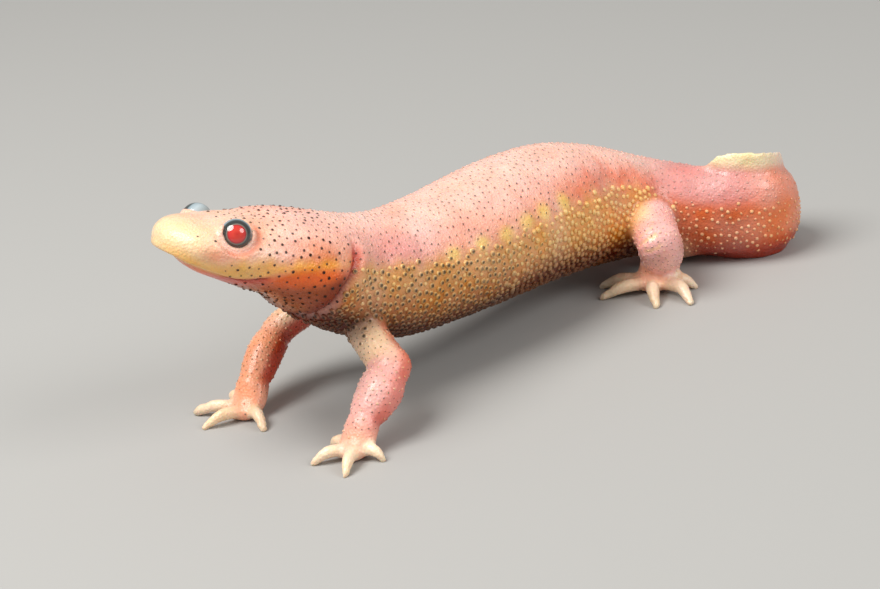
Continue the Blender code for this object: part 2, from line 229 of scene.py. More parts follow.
# the newt's own lines and sizes
pose = {
    "origin": (13.90, 10.22, 0.0),
    "floorSink": 0.25,
    "spine": [(-4.2, -67.6, 35.4), (-2.1, -56.6, 30.5), (-0.9, -45.9, 24.6), (-0.3, -38.4, 20.7),
              (0.0, -30.0, 18.0), (-0.6, -11.7, 16.4), (-2.2, 0.7, 14.9), (-3.0, 12.8, 12.6),
              (0.4, 25.6, 9.9), (7.5, 31.2, 8.6), (15.5, 34.4, 7.9)],
    "spineSpread": 3.0,
    "tailBendRadius": 6.0,
    "tailBendAngle": 182.0,
    "tailEndLength": 48.0,
    "tailEndTurn": 8.0,
    "tailTipHeight": 2.0,
}
body = {
    # distance from the snout, half width, height above and below the middle line
    "sections": [(0.0, 1.4, 0.9, 0.9), (0.8, 4.2, 2.3, 2.2), (3.0, 6.8, 3.4, 3.6), (7.0, 8.6, 4.1, 4.6),
                 (13.0, 9.9, 5.1, 5.55), (19.0, 11.2, 7.3, 5.5), (24.0, 11.8, 7.8, 7.2),
                 (30.0, 10.4, 8.3, 9.0), (36.0, 10.3, 8.5, 10.2), (43.0, 10.7, 8.7, 10.9),
                 (52.0, 11.3, 9.0, 10.8), (66.0, 11.8, 10.9, 10.4), (80.0, 11.4, 11.9, 9.9),
                 (91.0, 9.6, 10.2, 8.8), (100.0, 8.1, 7.6, 7.8), (108.0, 6.2, 7.2, 7.4),
                 (115.0, 4.2, 7.4, 7.0), (121.0, 3.2, 7.1, 6.6), (128.0, 2.8, 6.2, 5.8),
                 (137.0, 2.6, 5.0, 4.6), (155.0, 2.2, 3.6, 2.9), (175.0, 1.5, 2.1, 1.5),
                 (196.0, 0.6, 0.7, 0.4)],
    "squareness": 2.15,
    "sides": 96,
    "inset": 0.06,        # the smooth skin sits this far inside the faceted solids' corners
    "upperFin": [(107.0, 0.4), (109.0, 0.8), (111.5, 3.1), (116.0, 3.8), (121.0, 3.4), (126.0, 2.8),
                 (134.0, 1.8), (150.0, 1.2), (196.0, 0.8)],
    "lowerFin": [(107.0, 0.5), (111.0, 1.0), (116.0, 1.2), (135.0, 1.6), (150.0, 1.6), (175.0, 1.4),
                 (196.0, 1.0)],
    "finRoot": 0.9,
    "finEdge": 0.36,
}
limbs = {
    # stops of each limb's middle line, half width, half thickness
    "leftArm": [((2.6, -37.7, 15.5), 3.3, 3.4), ((7.1, -41.0, 13.2), 3.0, 2.9),
                ((13.2, -42.4, 9.4), 3.0, 2.8), ((14.6, -46.2, 7.2), 3.5, 3.3),
                ((15.6, -50.8, 4.2), 2.7, 2.3), ((16.2, -52.8, 1.6), 2.9, 1.9),
                ((16.6, -54.5, 1.2), 2.2, 1.4)],
    "rightArm": [((-5.0, -33.0, 15.0), 3.3, 3.3), ((-10.4, -36.2, 12.8), 3.0, 2.8),
                 ((-12.9, -42.3, 9.4), 2.5, 2.5), ((-11.8, -46.5, 7.2), 2.9, 2.8),
                 ((-9.8, -50.9, 4.2), 2.6, 2.4), ((-9.0, -52.8, 1.6), 3.1, 1.9),
                 ((-8.6, -54.5, 1.2), 2.3, 1.4)],
    "leftLeg": [((4.0, 24.0, 9.0), 4.2, 4.0), ((9.2, 19.2, 10.2), 4.0, 3.8),
                ((14.4, 15.4, 9.7), 3.6, 3.4), ((12.5, 18.0, 6.6), 3.5, 3.4),
                ((10.7, 19.1, 3.9), 3.5, 3.0), ((10.9, 17.6, 1.9), 3.6, 2.2),
                ((11.0, 16.0, 1.2), 2.8, 1.4)],
    "rightLeg": [((-4.0, 25.5, 9.0), 4.2, 4.0), ((-9.4, 21.6, 10.4), 4.0, 3.8),
                 ((-15.0, 18.2, 10.2), 3.5, 3.4), ((-14.3, 21.2, 6.8), 3.2, 3.2),
                 ((-13.7, 22.9, 3.4), 2.8, 2.4), ((-14.0, 20.6, 1.6), 3.4, 1.9),
                 ((-14.6, 18.9, 1.2), 2.8, 1.4)],
    "spread": 1.0,
    "sides": 28,
}
digits = {
    # direction of the tip from straight ahead toward the outside, length, bow of the knuckle inward
    "leftArm": [(-86, 5.4, -0.4), (-27, 7.0, -0.3), (33, 7.2, 0.2), (98, 4.8, 0.3)],
    "rightArm": [(-66, 7.2, 0.2), (14, 7.8, 0.2), (56, 8.6, 0.4), (106, 7.2, 0.4)],
    "leftLeg": [(-58, 9.2, -1.2), (-27, 9.6, -0.7), (42, 8.6, 0.3), (76, 9.8, -0.8), (118, 6.4, 0.3)],
    "rightLeg": [(-34, 7.0, -0.3), (6, 9.4, -0.2), (42, 10.6, 0.0), (78, 10.4, 0.4), (118, 6.8, 0.3)],
    "fingerRadius": 0.98,
    "toeRadius": 1.12,
    "neck": 1.0,
    "taper": 0.52,
    "start": 2.4,
    "lift": 0.45,
    "arch": 0.9,
    "sides": 16,
}


bodyLength = body["sections"][-1][0]


def spineAxis():
    stops = [np.add(stop, pose["origin"]) for stop in pose["spine"]]
    here, before = stops[-1], stops[-2]
    heading = math.atan2(here[0] - before[0], here[1] - before[1])
    arcLength = pose["tailBendRadius"] * math.radians(pose["tailBendAngle"])
    drop = (here[2] - pose["tailTipHeight"]) / (arcLength + pose["tailEndLength"])
    step = 1.5
    travelled = 0.0
    while travelled < arcLength + pose["tailEndLength"]:
        if travelled < arcLength:
            heading -= step / pose["tailBendRadius"]
        else:
            heading += math.radians(pose["tailEndTurn"]) * step / pose["tailEndLength"]
        here = here + np.array([math.sin(heading), math.cos(heading), -drop]) * step
        stops.append(here)
        travelled += step
    return Axis(smoothPath(stops, pose["spineSpread"]))


def profileTable(which):   # the section table with its corners eased, read at any distance
    rows = np.array(body["sections"])
    at = np.arange(0.0, 200.01, 0.25)
    spread = np.minimum(0.4 + at * 0.12, 3.0)
    offsets = np.linspace(-1.5, 1.5, 13)
    weights = np.exp(-0.5 * offsets ** 2)
    around = np.maximum(column(at) + offsets * column(spread), 0.0)
    values = np.interp(around, rows[:, 0], rows[:, which])
    return at, (values * weights).sum(1) / weights.sum()


profiles = {"width": profileTable(1), "top": profileTable(2), "bottom": profileTable(3)}


def profile(kind, distance):
    return np.interp(distance, *profiles[kind])


def bodyShell(axis):
    c, s = ring(body["sides"])
    power = 2 / body["squareness"]
    rings = []
    for distance in np.concatenate([[0.0, 0.1, 0.3, 0.6, 0.9, 1.3, 1.8, 2.4], places(3.0, bodyLength, 0.8)]):
        point, along, aside, up = axis.at(distance)
        width = profile("width", distance) - body["inset"]
        height = np.where(s > 0, profile("top", distance), profile("bottom", distance)) - body["inset"]
        across = width * np.sign(c) * np.abs(c) ** power
        lift = height * np.sign(s) * np.abs(s) ** power
        rings.append(point + column(across) * aside + column(lift) * up)
    return loft(rings)


def finShell(axis, upward):
    name, edgeOf, side = ("upperFin", "top", 1) if upward else ("lowerFin", "bottom", -1)
    start, end = body[name][0][0], body[name][-1][0] + 0.7
    rings = []
    for distance in places(start, end, 0.6):
        point, along, aside, up = axis.at(distance)
        core = profile(edgeOf, distance)
        edge = core + readTable(body[name], distance)
        root = core * 0.5
        outline = []
        for share in (0.0, 0.35, 0.7, 0.9, 1.0):
            half = body["finRoot"] + (body["finEdge"] - body["finRoot"]) * share
            outline.append((half * (0.55 if share == 1.0 else 1.0), root + (edge - root) * share))
        outline += [(-a, h) for a, h in reversed(outline)]
        rings.append([point + aside * a + up * h * side for a, h in outline])
    return loft(rings)


def limbShell(rows):   # one length through three stops, domed at both ends
    axis = Axis(smoothPath(rows, limbs["spread"], 0.25), level=False)
    c, s = ring(limbs["sides"])
    reaches = [0.995, 0.95, 0.85, 0.7, 0.5, 0.25]
    stations = [(0.0, -reach) for reach in reaches]
    stations += [(distance, 0.0) for distance in places(0.0, axis.length, 0.6)]
    stations += [(axis.length, reach) for reach in reversed(reaches)]
    rings = []
    for distance, push in stations:
        point, along, aside, up = axis.at(distance)
        width, thickness = axis.read(axis.extra, distance)
        outline = aside * width * column(c) + up * thickness * column(s)
        rings.append(point + along * thickness * push + outline * math.sqrt(1 - push ** 2))
    return loft(rings)


def heading(turn, side):
    angle = math.radians(turn)
    return np.array([math.sin(angle) * side, -math.cos(angle), 0.0])


def digitShells(name, centre, side, radius):
    rows = digits[name]
    rootTurns = np.linspace(rows[0][0], rows[-1][0], len(rows))
    sole = centre * (1.0, 1.0, 0.0)
    c, s = ring(digits["sides"])
    made = []
    for (turn, length, bow), rootTurn in zip(rows, rootTurns):
        base = sole + heading(rootTurn, side) * digits["start"] * radius
        tip = sole + heading(turn, side) * length
        knuckle = (base + tip) / 2 + heading(turn - 90, side) * bow
        start = sole + heading(rootTurn, side) * radius * 0.8
        start[2] = base[2] = radius + digits["lift"]
        knuckle[2] = radius + digits["arch"]
        tip[2] = radius * digits["taper"] - pose["floorSink"]
        stops = [[*start, radius * 0.9], [*base, radius * digits["neck"]], [*knuckle, radius],
                 [*tip, radius * digits["taper"]]]
        axis = Axis(smoothPath(stops, 0.8, 0.25))
        stations = [(distance, 0.0) for distance in places(0.0, axis.length, 0.4)]
        stations += [(axis.length, reach) for reach in (0.3, 0.6, 0.85, 0.98)]
        rings = []
        for distance, push in stations:
            point, along, aside, up = axis.at(distance)
            size = axis.read(axis.extra, distance)[0]
            outline = aside * column(c) + up * column(s)
            rings.append(point + along * size * push + outline * size * math.sqrt(1 - push ** 2))
        made.append((axis, loft(rings)))
    return made


spine = spineAxis()
shells = [bodyShell(spine), finShell(spine, True), finShell(spine, False)]
limbAxes, digitAxes = [], []
for name, side in (("leftArm", 1), ("rightArm", -1), ("leftLeg", 1), ("rightLeg", -1)):
    rows = np.array([[*np.add(point, pose["origin"]), *sizes] for point, *sizes in limbs[name]])
    shells += [limbShell(rows[start:start + 3]) for start in (0, 2, 4)]
    limbAxes.append(Axis(smoothPath(rows, 0.8, 0.25), level=False))
    radius = digits["fingerRadius"] if "Arm" in name else digits["toeRadius"]
    for axis, shell in digitShells(name, rows[5, :3], side, radius):
        shells.append(shell)
        digitAxes.append(axis)

# one skin over all the flesh: the shells are joined by a voxel union, then smoothed
skinMake = {
    "voxel": 0.48,
    "rounds": 12,          # smoothing of the whole skin
    "filletRounds": 26,    # more of it where a limb leaves the body
    "fineEnd": 20.0,       # the head is refined up to this distance from the snout
}


def joinShells(parts):
    points, faces, base = [], [], 0
    for partPoints, partFaces in parts:
        points.append(partPoints)
        faces += [tuple(base + i for i in face) for face in partFaces]
        base += len(partPoints)
    return meshFrom("skin_shells", np.concatenate(points), faces)


def voxelSkin(mesh):
    rough = newObject("skin_rough", mesh)
    step = rough.modifiers.new("union", "REMESH")
    step.mode = "VOXEL"
    step.voxel_size = skinMake["voxel"] * mm
    step.adaptivity = 0.0
    evaluated = rough.evaluated_get(bpy.context.evaluated_depsgraph_get())
    made = bpy.data.meshes.new_from_object(evaluated)
    bpy.data.objects.remove(rough)
    return made


def edgeArray(mesh):
    return readRows(mesh.edges, "vertices", 2, int)


def relaxed(points, edges, rounds, where, keepVolume=True):
    counts = column(np.bincount(edges.ravel(), minlength=len(points)).astype(float))
    first, second = edges.T
    for _ in range(rounds):
        for factor in ((0.5, -0.53) if keepVolume else (0.5,)):
            total = np.stack([np.bincount(first, points[second, k], len(points))
                              + np.bincount(second, points[first, k], len(points)) for k in range(3)], 1)
            points = points + (total / counts - points) * factor * column(where)
    return points


def carriedOn(axis, length):   # the same axis with its straight end drawn out
    further = np.arange(1.0, length - axis.length, 1.0)
    return Axis(np.vstack([axis.points, axis.points[-1] + column(further) * axis.slope[-1]]))


placeAxis = carriedOn(spine, bodyLength + 6.0)


def bodyPlace(points):   # distance along the body, sideways and up as shares of the section, and how deep
    reach = np.maximum(profile("width", placeAxis.run), 1.5)
    distance, aside, up = placeAxis.nearest(points, reach)
    width = profile("width", distance)
    tall = np.where(up > 0, profile("top", distance), profile("bottom", distance))
    power = body["squareness"]
    depth = ((np.abs(aside) / width) ** power + (np.abs(up) / tall) ** power) ** (1 / power)
    return distance, aside / width, up / tall, depth


def limbPlace(points, depth):   # which limb, how far along and round it; how surely on a limb, on a digit
    which = np.zeros(len(points), int)
    share, around, inLimb, inDigit = np.zeros((4, len(points)))
    for k, axis in enumerate(limbAxes):
        reach = axis.extra.mean(1)
        distance, aside, up = axis.nearest(points, reach)
        along = distance / axis.length
        limbDepth = np.hypot(aside, up) / np.interp(distance, axis.run, reach)
        amount = ease(depth - limbDepth, -0.12, 0.28) * ease(along, -0.05, 0.1)
        closer = amount > inLimb
        which[closer], share[closer] = k, along[closer]
        around[closer] = np.arctan2(up, aside)[closer]
        inLimb = np.maximum(inLimb, amount)
    for axis in digitAxes:
        distance, aside, up = axis.nearest(points, axis.extra[:, 0])
        closeness = np.hypot(aside, up) / np.interp(distance, axis.run, axis.extra[:, 0])
        amount = ease(1.7 - closeness, 0, 0.5) * ease(distance / axis.length, 0.1, 0.45)
        inDigit = np.maximum(inDigit, amount)
    return which, share, around, inLimb, inDigit


def refine(mesh, chosen):   # halves the edges whose two ends are chosen
    sculpt = bmesh.new()
    sculpt.from_mesh(mesh)
    sculpt.verts.ensure_lookup_table()
    edges = [edge for edge in sculpt.edges if chosen[edge.verts[0].index] and chosen[edge.verts[1].index]]
    bmesh.ops.subdivide_edges(sculpt, edges=edges, cuts=1, use_grid_fill=True)
    bmesh.ops.triangulate(sculpt, faces=[face for face in sculpt.faces if len(face.verts) > 4])
    sculpt.to_mesh(mesh)
    sculpt.free()
    mesh.update()


head = {
    "at": 8.9,        # the head's own straight frame is read at the eyes: along, sideways, up
    "mouth": [(-3.0, -1.9), (0.0, -1.9), (1.3, -2.15), (2.6, -2.6), (5.0, -2.95), (7.9, -3.3), (9.8, -3.45),
              (11.2, -3.3), (12.4, -2.75), (13.8, -2.0)],
    "mouthDepth": 0.5,
    "mouthWidth": 0.17,
    "lipSwell": 0.18,
    "lidAxis": (-0.34, 0.86, 0.34),     # the way each eye's lids face: along, outward, up
    "gaze": (-0.47, 0.84, 0.22),
    "lidRadius": 2.12,
    "lidLevel": 1.22,
    "lidSwell": 0.16,
    "nostril": (0.9, 2.2, 1.0),
    "foldHeights": [-1.0, -0.64, -0.4, -0.19, 0.09, 0.34, 0.56, 0.79, 1.0],
    "foldPlaces": [26.0, 25.5, 25.5, 25.7, 26.6, 27.0, 27.3, 27.0, 26.8],
    "foldDepth": 0.8,
}
headPoint, headAlong, headAside, headUp = spine.at(head["at"])


def headFrame(points):
    offset = points - headPoint
    return offset @ headAlong + head["at"], offset @ headAside, offset @ headUp


def aboveMouth(points):
    along, aside, up = headFrame(points)
    return up - readTable(head["mouth"], along)


def pastFold():   # how far behind the fold of the throat each vertex lies
    return distance - np.interp(height, head["foldHeights"], head["foldPlaces"])


def roundEye(centre, points):   # the lids' axis, how far out along it, and the way and distance off it
    axis = facing(centre, head["lidAxis"])
    level = (points - centre) @ axis
    flat = points - centre - column(level) * axis
    return axis, level, flat, np.linalg.norm(flat, axis=1)


def eyeBox(name):
    low, high = (np.array(corner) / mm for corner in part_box(name))
    return (low + high) / 2, float((high - low).max() / 2)


def facing(centre, way):   # a direction in the head's frame, mirrored for the right eye
    side = math.copysign(1.0, float((centre - headPoint) @ headAside))
    made = headAlong * way[0] + headAside * side * way[1] + headUp * way[2]
    return made / np.linalg.norm(made)


eyes = {name: eyeBox(name) for name in ("eye_left", "eye_right")}
eyeCentres = [centre for centre, radius in eyes.values()]
skinMesh = voxelSkin(joinShells(shells))
skinMesh.name = "skin"
points, edges = readPoints(skinMesh), edgeArray(skinMesh)
distance, across, height, depth = bodyPlace(points)
which, share, around, inLimb, inDigit = limbPlace(points, depth)
thin = np.maximum(inDigit, ease(distance, 175, 190))
fillet = hump(inLimb, 0.5, 0.28) * (1 - inDigit) * ease(distance, 24, 30)
points = relaxed(points, edges, skinMake["rounds"], 1.0 - 0.35 * thin)
points = relaxed(points, edges, skinMake["filletRounds"], fillet, keepVolume=False)
writePoints(skinMesh, points)
refine(skinMesh, bodyPlace(points)[0] < skinMake["fineEnd"])
points = relaxed(readPoints(skinMesh), edgeArray(skinMesh), 3, np.ones(len(skinMesh.vertices)))
writePoints(skinMesh, points)
nearMouth = (np.abs(aboveMouth(points)) < 0.75) & (headFrame(points)[0] < 14.6)
nearLid = np.zeros(len(points), bool)
for centre in eyeCentres:
    lidAxis, level, flat, radial = roundEye(centre, points)
    nearLid |= (level > 0) & (radial > 1.5) & (radial < 3.1)
refine(skinMesh, nearMouth | nearLid)
points, edges = readPoints(skinMesh), edgeArray(skinMesh)
points = relaxed(points, edges, 2, np.ones(len(points)))
writePoints(skinMesh, points)
distance, across, height, depth = bodyPlace(points)
which, share, around, inLimb, inDigit = limbPlace(points, depth)
print("skin joined:", triangleCount(skinMesh), "triangles")

# folds, creases and lids, cut into the skin
folds = {
    "costalStart": 44.0, "costalEnd": 98.0, "costalSpacing": 4.7, "costalDepth": 0.15,
    "ventAt": 106.0, "ventSwell": 0.9,
    "shoulderAt": 33.2, "shoulderDepth": 0.35,
    "wrinkle": 0.05,
}


def creases(points):   # millimetres outward at each vertex
    a, w, h = headFrame(points)
    above = aboveMouth(points)
    onHead = fade(distance, 16, 19)
    gape = onHead * fade(a, 12.8, 14.2)
    move = -head["mouthDepth"] * bell(above, head["mouthWidth"]) * gape
    move += head["lipSwell"] * bell(above - 0.62, 0.42) * gape * (1 - 0.6 * ease(a, 6, 11))
    jaw = ease(-above, 0, 0.35) * gape
    move -= 0.75 * jaw * hump(a, 2.9, 1.5) + 0.25 * jaw      # the lower jaw sits in under the upper lip
    corner = np.sqrt((a - 14.0) ** 2 + (h + 2.3) ** 2)
    move += 0.22 * bell(corner, 1.2) * onHead * (np.abs(w) > 5)
    forward, outward, upward = head["nostril"]
    for side in (1, -1):
        near = np.sqrt((a - forward) ** 2 + (w - side * outward) ** 2 + (h - upward) ** 2)
        move += -0.3 * bell(near, 0.24) + 0.08 * bell(near - 0.55, 0.22)
        cheek = np.sqrt(((distance - 18.0) / 4.5) ** 2 + ((across - side * 0.62) / 0.3) ** 2
                        + ((height - 0.7) / 0.4) ** 2)
        move += 0.3 * np.exp(-cheek ** 2)
        temple = np.sqrt(((distance - 10.5) / 2.5) ** 2 + ((across - side * 0.35) / 0.2) ** 2)
        move += 0.2 * np.exp(-temple ** 2) * ease(height, 0.5, 0.9)
    behind = pastFold()
    move -= head["foldDepth"] * bell(behind, 0.65) * fade(height, 0.45, 0.85)
    move += 0.4 * bell(behind + 2.0, 1.2) * fade(height, -0.1, 0.4)
    move += 0.3 * bell(behind - 1.7, 0.9) * fade(height, 0.3, 0.8)
    move -= 0.3 * bell(behind - 4.6 - 1.5 * height, 0.7) * fade(height, 0, 0.4)
    move -= folds["shoulderDepth"] * hump(distance, folds["shoulderAt"], 1.6) * hump(height, 0.25, 0.3)
    furrow = ease(height, 0.6, 0.9) * ease(distance, 10, 16) * fade(distance, 40, 104)
    move -= 0.3 * bell(across, 0.1) * furrow
    for place in np.arange(folds["costalStart"], folds["costalEnd"], folds["costalSpacing"]):
        bent = distance - place - 1.4 * height
        groove = bell(bent, 0.55) * fade(np.abs(height + 0.05), 0.35, 0.75)
        move -= folds["costalDepth"] * groove
    move += folds["ventSwell"] * hump(distance, folds["ventAt"], 2) * ease(-height, 0.3, 0.9)
    slit = hump(distance, folds["ventAt"] + 0.5, 1.3) * ease(-height, 0.7, 0.95)
    move -= 0.4 * bell(across, 0.08) * slit
    x, y, z = points.T
    rumple = np.sin(x * 2.9 + 1.3 * np.sin(y * 1.7)) * np.sin(z * 2.5 + y * 1.1)
    move += folds["wrinkle"] * rumple * ease(distance, 3, 14)
    nearArm = 0.5 * hump(share, 0.64, 0.06) + 0.45 * hump(share, 0.47, 0.04)
    bulge = np.where(which == 0, nearArm, 0.25 * hump(share, 0.62, 0.08))
    bulge = bulge * ease(np.cos(around - np.where(which < 2, 2.6, 1.6)), 0, 0.9)
    wrist = -0.25 * hump(share, 0.80, 0.02) - 0.14 * hump(share, 0.53, 0.015)
    return move * (1 - inLimb) + (bulge + wrist * (1 - inDigit)) * inLimb


def lidShape(points):   # the skin closes round each eye in a ring, thinner above
    for centre in eyeCentres:
        lidAxis, level, flat, radial = roundEye(centre, points)
        out = radial - head["lidRadius"]
        clad = 1 - ease((flat @ headUp) / np.maximum(radial, 0.1), 0.15, 0.75)   # the ball stands free above
        swell = head["lidSwell"] * clad * bell(out - 0.3, 0.24)
        moat = -0.14 * clad * bell(out - 1.0, 0.4)
        inside = np.minimum(level, head["lidLevel"] + out * 0.6)
        target = np.where(out < 0, inside, head["lidLevel"] + swell + moat)
        hold = (level > -0.6) * fade(out, 0.2, 1.5) * clad
        rise = (target - level) * hold + (swell + moat) * (1 - hold) * (level > -0.5) * (radial < 4.5)
        points = points + lidAxis * column(rise)
    return points


low, high = (np.array(corner) / mm for corner in cadBox)
points = points + readRows(skinMesh.vertex_normals, "vector") * column(creases(points))
points = np.clip(lidShape(points), low, high)
writePoints(skinMesh, points)
skinMesh.shade_smooth()
skin = newObject("skin", skinMesh)
print("folds and lids cut")

# colours of the skin, from its places on the body
inks = {
    "snout": (250, 219, 176), "lip": (254, 196, 114), "crown": (248, 198, 170),
    "templePink": (250, 190, 172), "cheek": (235, 151, 114), "salmon": (228, 98, 62),
    "amber": (250, 172, 70), "jawOrange": (236, 100, 6), "jawRed": (212, 56, 6),
    "throat": (164, 72, 10), "under": (152, 96, 52), "fold": (208, 68, 40),
    # darkRedAndShade is a dark red for the lower throat ahead of the fold, and painted shade in the fold's
    # groove and along the mouth line
    "darkRedAndShade": (112, 32, 18), "back": (250, 190, 174), "ridge": (250, 200, 182),
    "lilac": (232, 164, 162), "rose": (244, 176, 152), "flankGold": (232, 170, 112),
    # the belly ink is the underside's own red, made darker as painted shade
    "flankBrown": (200, 128, 70), "bellyAndShade": (92, 30, 12), "hipOrange": (230, 156, 100),
    "redStreak": (230, 106, 62), "ribSpot": (255, 214, 138), "tailTop": (218, 150, 144),
    "tailSide": (208, 104, 60), "tailUnder": (178, 54, 24), "tailBend": (246, 156, 122),
    "fin": (246, 228, 182), "finTip": (246, 222, 204), "armGold": (250, 212, 176),
    "armRed": (214, 74, 48), "armPink": (244, 182, 172), "armPeach": (246, 170, 134),
    "hand": (248, 176, 146), "digit": (250, 222, 188), "legPink": (248, 186, 178),
    "legYellow": (250, 210, 140), "legRed": (214, 120, 96), "vent": (206, 160, 130),
}
inks = {name: pigment(*values) for name, values in inks.items()}
goldTop = [(24.0, 0.1), (28.0, 0.30), (33.0, 0.34), (38.0, 0.36), (42.0, 0.36), (49.5, 0.30), (55.5, 0.27),
           (61.0, 0.30), (69.0, 0.34), (77.0, 0.44), (84.0, 0.53), (92.0, 0.60), (100.0, 0.58),
           (108.0, 0.50)]
jawLines = {   # heights along the head between which its colours lie
    "amberTop": [(4.0, -1.2), (8.0, -0.6), (12.0, 0.6), (16.4, 0.95), (19.5, 1.5), (24.3, 2.0),
                 (27.0, 2.3)],
    "amberLow": [(-3.0, -2.0), (1.3, -2.2), (2.6, -2.6), (5.0, -2.95), (7.9, -3.3), (9.8, -3.2),
                 (12.0, -2.5), (14.0, -1.65), (16.4, -0.8), (18.3, -0.25), (21.5, 0.35), (24.0, 0.75),
                 (27.0, 1.2)],
    "orangeLow": [(12.0, -3.2), (17.0, -3.2), (20.0, -2.6), (22.7, -1.5), (25.0, -0.1), (27.0, 0.6)],
}
streak = [(66.0, 0.5), (73.0, 0.56), (79.0, 0.62), (85.0, 0.68), (93.0, 0.72), (100.0, 0.66), (106.0, 0.58)]
ribSpots = [(46.5, 0.35), (52.5, 0.36), (57.5, 0.35), (61.8, 0.40), (65.8, 0.43), (71.0, 0.45)]


def plain(name):
    return np.tile(inks[name], (len(points), 1))


def inked(shade, *layers):   # inks laid over a shade or over a plain ink: names and amounts
    shade = plain(shade) if isinstance(shade, str) else shade
    for name, amount in layers:
        shade = mixed(shade, inks[name], amount)
    return shade


def trunkTint():
    wave = 0.04 * np.sin(distance * 0.9) + 0.03 * np.sin(distance * 2.3 + 1.0)
    shade = inked("back", ("ridge", ease(height, 0.75, 1) * 0.8),
                  ("rose", fade(height, 0.45, 0.8) * 0.75),
                  ("lilac", hump(distance, 36.5, 5) * hump(height, 0.55, 0.22) * 0.7))
    gold = ease(readTable(goldTop, distance) + wave - height, -0.16, 0.18) * ease(distance, 25.5, 27)
    under = 0.2 * fade(distance, 48, 72)
    # the ground darkens toward the belly: its own red, deepened and spread upward as painted shade
    ground = inked("flankGold", ("hipOrange", ease(distance, 74, 90) * 0.8),
                   ("flankBrown", ease(-height, -0.1, 0.4)),
                   ("bellyAndShade", ease(-height, 0.08 + under, 0.62 + under)))
    shade = mixed(shade, ground, gold)
    onStreak = hump(height, readTable(streak, distance) + wave, 0.11)
    onStreak = onStreak * ease(distance, 68, 80) * fade(distance, 100, 108)
    shade = inked(shade, ("redStreak", onStreak * 0.65))
    for place, level in ribSpots:
        near = np.sqrt(((distance - place) / 1.5) ** 2 + ((height - level) / 0.12) ** 2)
        shade = inked(shade, ("ribSpot", np.exp(-near ** 3) * 0.9))
    return shade


def tailTint(shade):
    tail = ease(distance, 93, 105)
    sooner = 0.16 * fade(distance, 98, 114)
    bend = ease(distance, 114, 121) * fade(distance, 128, 145)
    side = inked("tailSide", ("tailTop", ease(height, 0.2 + sooner, 0.66 + sooner)),
                 ("tailBend", bend * 0.7), ("tailUnder", ease(-height, 0.2, 0.9)))
    finShade = inked("fin", ("finTip", ease(distance, 116, 124)))
    onFin = ease(height, 1, 1.3) * ease(distance, 107, 109.5)
    return inked(mixed(mixed(shade, side, tail), finShade, onFin),
                 ("tailUnder", ease(-height, 1.03, 1.15) * tail),
                 ("vent", hump(distance, folds["ventAt"], 1.8) * ease(-height, 0.25, 0.6)))


def headTint(shade):
    a, w, h = headFrame(points)
    above = aboveMouth(points)
    crown = inked("crown", ("templePink", ease(a, 10, 18)),
                  ("cheek", ease(a, 12, 20) * fade(height, 0.35, 0.75)),
                  ("snout", fade(a + 0.5 * h, 0.5, 8.5)),
                  ("salmon", hump(a, 5.4, 1.5) * hump(h, -0.3, 0.8) * 0.4),
                  ("lip", fade(above, 0.3, 2.4) * ease(a, -1, 1.5) * 0.95))
    for centre in eyeCentres:
        lidAxis, level, flat, radial = roundEye(centre, points)
        behind = (flat @ headAlong * 0.75 - flat @ headUp * 0.65) / np.maximum(radial, 0.1)
        crown = inked(crown, ("salmon", hump(radial, 3.2, 0.45) * ease(behind, -0.25, 0.5) * 0.55),
                      ("templePink", hump(radial, 2.5, 0.22) * 0.7))
    wave = 0.25 * np.sin(a * 1.3) + 0.15 * np.sin(a * 2.9 + w)
    blur = 0.35 + 0.6 * ease(a, 12.5, 16)      # the bands part sharply at the mouth and softly behind it
    top, low, deep = (readTable(jawLines[line], a) for line in ("amberTop", "amberLow", "orangeLow"))
    amber = ease(h, low - blur, low + blur) * fade(h + wave, top - 1.3, top + 0.9)
    band = inked("lip", ("amber", ease(a, 9, 16)))
    crown = mixed(crown, band, amber * ease(a, 4, 10) * 0.95)
    jaw = inked("jawOrange", ("jawRed", ease(a, 5.5, 9) * fade(a, 12.5, 15)),
                ("lip", fade(a, 1.5, 5) * 0.8),
                ("throat", fade(h, deep - 1.2, deep + 0.9) * ease(a, 11, 15)))
    # a painted shadow line along the mouth, darker toward its corner
    gape = bell(above, 0.2) * fade(a, 13, 14.5)
    crown = inked(mixed(crown, jaw, fade(h, low - blur - 0.05, low + blur)),
                  ("under", ease(-height, 0.72, 0.98) * ease(a, 8, 16) * 0.7),
                  ("darkRedAndShade", gape * (0.12 + 0.38 * ease(a, 5, 12))))
    start = -0.8 - 2.0 * ease(height, 0.3, 0.7)
    return mixed(shade, crown, 1 - ease(pastFold(), start, 0.4))


def foldTint(shade):
    # darker red low on the throat ahead of the fold, and painted shade in the fold's groove
    behind, low = pastFold(), fade(height, -0.15, 0.25)
    before = ease(behind, -4, -1.2) * fade(behind, -0.1, 0.5)
    band = bell(behind, 1.1) * fade(height, 0.45, 0.75)
    grooveShade = bell(behind + 0.1, 0.5) * fade(height, 0, 0.4)
    return inked(shade, ("darkRedAndShade", before * low * 0.8), ("fold", band * (1 - 0.8 * low)),
                 ("darkRedAndShade", grooveShade * 0.8))


def limbTint(shade):
    isArm, rearEdge = which < 2, ease(np.cos(around - 3.25), 0.55, 0.97)
    lower = np.where(column(which == 0), inks["armPink"], inks["armPeach"])
    arm = mixed(plain("armGold"), lower, ease(share, 0.35, 0.55))
    redness = np.where(which == 0, 0.65, 0.95) * fade(share, 0.78, 0.92)
    arm = inked(arm, ("armRed", rearEdge * redness))
    front = ease(np.cos(around - 2.0), 0.4, 1) * fade(share, 0.35, 0.55)
    leg = inked("legPink", ("legYellow", front * 0.7),
                ("legRed", ease(np.cos(around + 1.0), 0.6, 0.95) * 0.4))
    limb = inked(np.where(column(isArm), arm, leg), ("hand", ease(share, 0.8, 0.94)))
    # the trunk's colours run down onto the arm
    shoulder = np.where(isArm, fade(share, 0.14, 0.32), 0.0)
    return inked(mixed(shade, limb, inLimb * (1 - 0.75 * shoulder)), ("digit", inDigit * 0.9))


